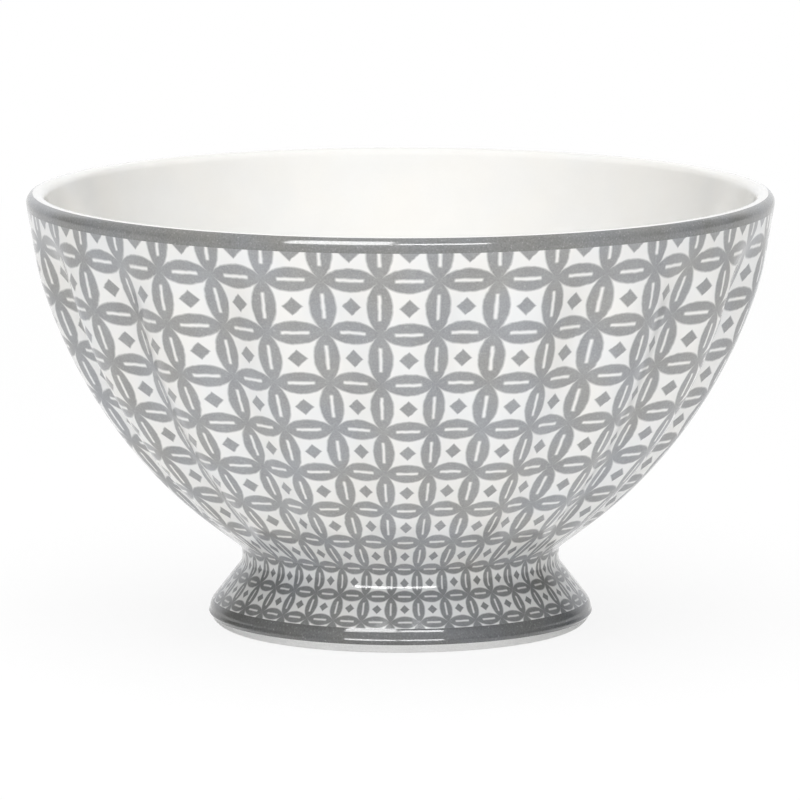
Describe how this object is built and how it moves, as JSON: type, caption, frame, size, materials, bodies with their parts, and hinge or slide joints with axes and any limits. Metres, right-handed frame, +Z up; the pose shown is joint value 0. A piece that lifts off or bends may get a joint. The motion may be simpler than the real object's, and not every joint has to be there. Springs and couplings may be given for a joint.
{
  "type": "footed bowl",
  "caption": "Round ceramic bowl with a softly fluted outside on a flared hollow foot, white glazed inside and printed outside, with a plain band at lip and foot.",
  "frame": {"origin": "centre of the circle that the standing ring makes on the ground", "axes": "+Z up along the bowl's axis, -Y towards the viewer of the picture, where a ridge of the fluted wall faces"},
  "size_m": [0.1504, 0.1504, 0.088],
  "materials": {
    "clay": "fired clay body under the glaze",
    "bare_clay": "bare fired clay, fine and matt, smoothed on the standing ring",
    "white_glaze": "glossy warm white glaze",
    "grey_band": "glossy mid grey, finely speckled",
    "printed_glaze": "glossy, mid grey lattice print on warm white"
  },
  "bodies": {
    "root": {"clay_cup": "clay", "clay_foot": "bare_clay", "inner_glaze": "white_glaze", "underside_glaze": "white_glaze", "rim_band": "grey_band", "bowl_print": "printed_glaze", "foot_print": "printed_glaze", "foot_band": "grey_band"}
  },
  "joints": []
}
